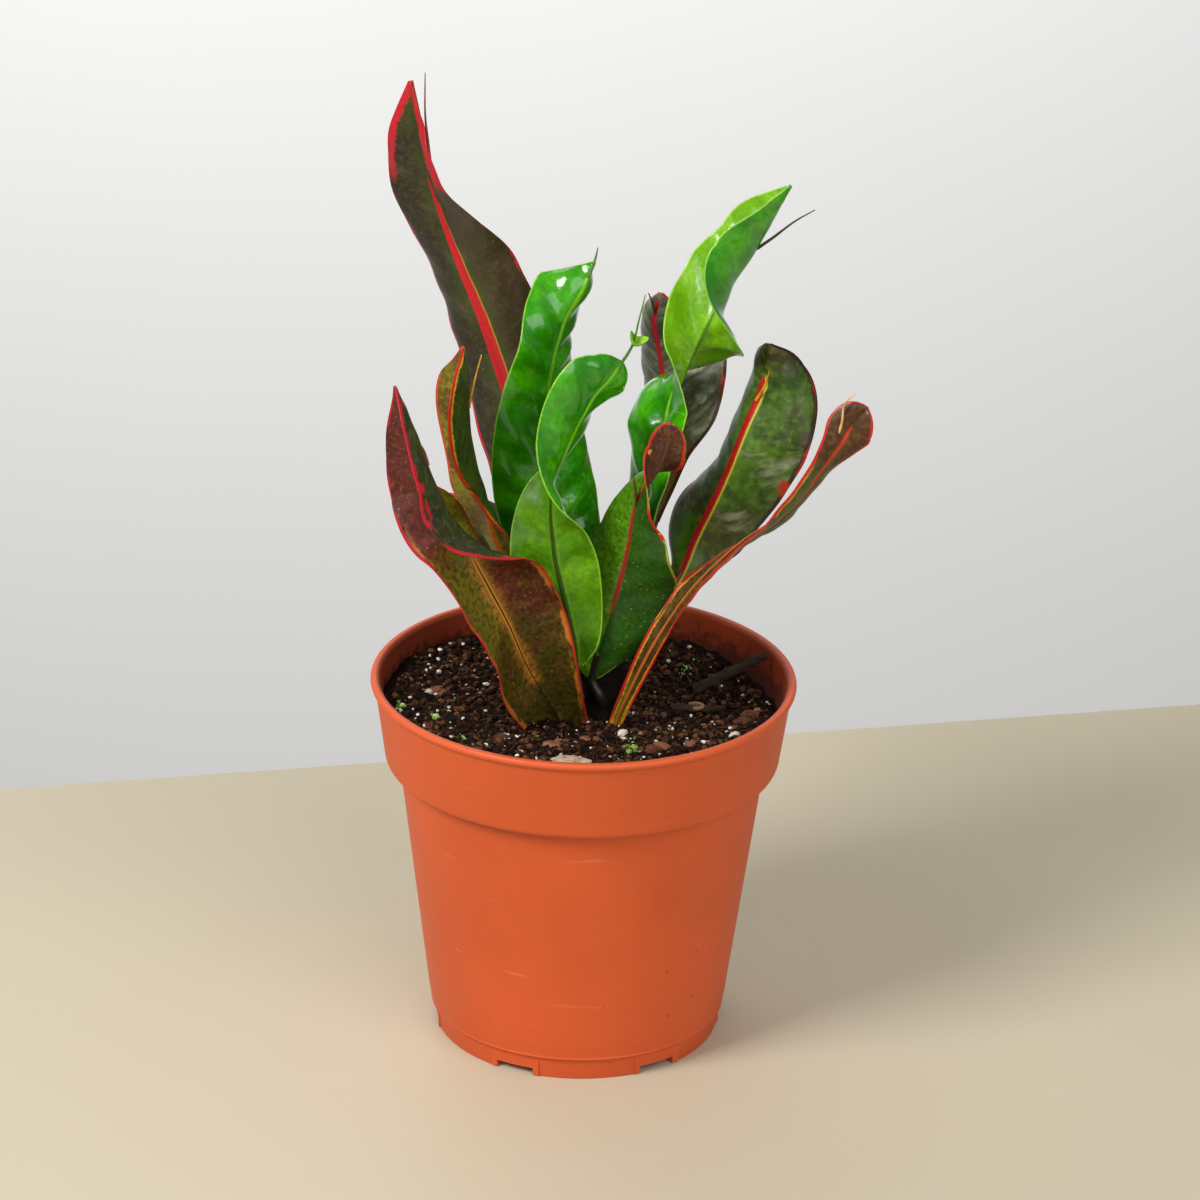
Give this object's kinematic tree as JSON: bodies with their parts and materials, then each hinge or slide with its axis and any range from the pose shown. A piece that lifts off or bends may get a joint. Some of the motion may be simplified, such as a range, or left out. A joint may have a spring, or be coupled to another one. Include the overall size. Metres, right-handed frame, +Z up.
{
  "type": "potted croton",
  "caption": "Young croton house plant with long twisted variegated leaves on a short woody stem, growing in soil in a round plastic nursery pot.",
  "frame": {"origin": "centre of the overall box, at the underside of the pot's foot", "axes": "+Z up along the plant, +X to the right of the picture's view, +Y away from the camera"},
  "size_m": [0.1218, 0.107, 0.2415],
  "materials": {
    "pot_plastic": "satin moulded polypropylene, terracotta orange",
    "soil": "matt, crumbly potting mix with fibre and perlite",
    "bark": "matt, rough dark bark",
    "chip": "matt, pale split bark",
    "leaf_green": "glossy waxy leaf, mid green with yellow-green veins",
    "leaf_dark": "glossy waxy leaf, dark green with red margin and midrib",
    "leaf_maroon": "waxy leaf, maroon underside with orange midrib",
    "leaf_olive": "waxy leaf, yellow-green underside with brown mottling"
  },
  "bodies": {
    "root": {"pot": "pot_plastic", "soil": "soil", "stem": "bark", "leaf_tall_dark": "leaf_dark", "leaf_back_green": "leaf_green", "leaf_twisted_green": "leaf_green", "leaf_spiral_green": "leaf_green", "leaf_front_dark": "leaf_green", "leaf_back_grey": "leaf_dark", "leaf_broad_right": "leaf_dark", "leaf_narrow_right": "leaf_maroon", "leaf_folded_front": "leaf_maroon", "leaf_left_striped": "leaf_dark", "leaf_left_olive": "leaf_olive", "leaf_back_left": "leaf_dark", "twig_leaning": "bark", "twig_lying": "bark", "bark_chip": "chip"}
  },
  "joints": []
}
